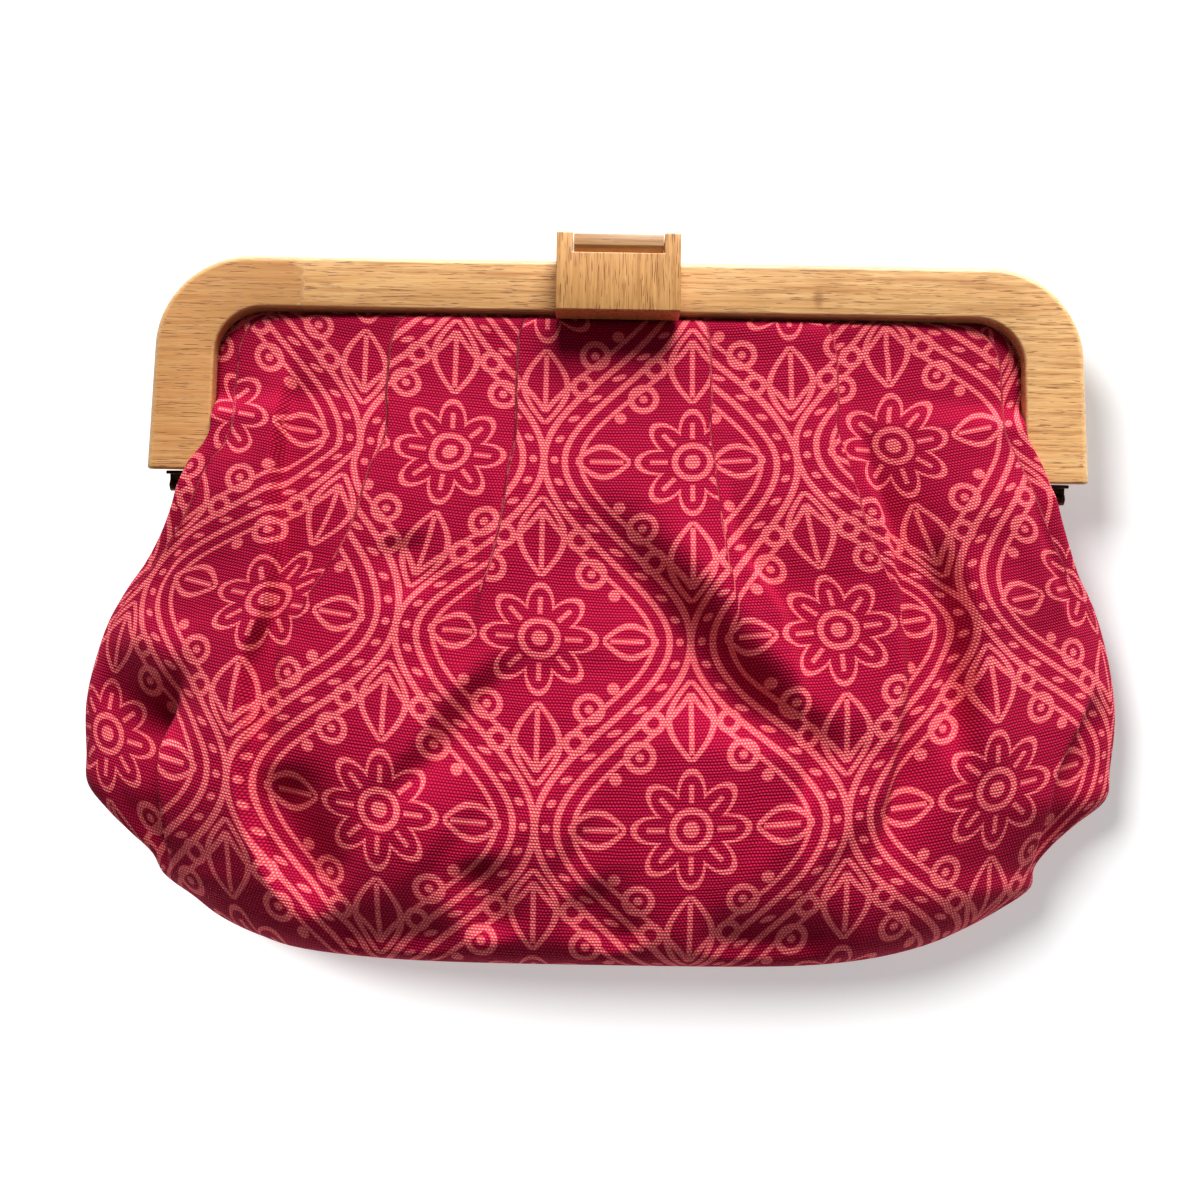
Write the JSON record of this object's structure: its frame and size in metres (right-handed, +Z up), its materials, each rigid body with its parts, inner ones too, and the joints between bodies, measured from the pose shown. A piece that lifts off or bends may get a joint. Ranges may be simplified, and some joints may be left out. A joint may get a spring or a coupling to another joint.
{
  "type": "clutch bag",
  "caption": "Soft clutch bag with a pleated canvas body gathered into a rounded wooden frame, closed by a notched wooden clasp block and a tongue.",
  "frame": {"origin": "on the floor under the middle of the bag, on the back panel's flat underside, in the plane of the frame's middle", "axes": "+X across the bag to its right, +Y towards the frame's top, +Z up out of the front"},
  "size_m": [0.2986, 0.2085, 0.0444],
  "materials": {
    "frame_wood": "satin lacquer, honey coloured",
    "clasp_wood": "satin lacquer, grain upright",
    "tongue_wood": "satin lacquer, paler",
    "hinge_metal": "dark bronze",
    "canvas": "printed cotton canvas, magenta with coral lines"
  },
  "bodies": {
    "root": {"front_frame": "frame_wood", "back_frame": "frame_wood", "clasp_block": "clasp_wood", "clasp_tongue": "tongue_wood", "hinge_left": "hinge_metal", "hinge_right": "hinge_metal", "front_panel": "canvas", "back_panel": "canvas"}
  },
  "joints": []
}
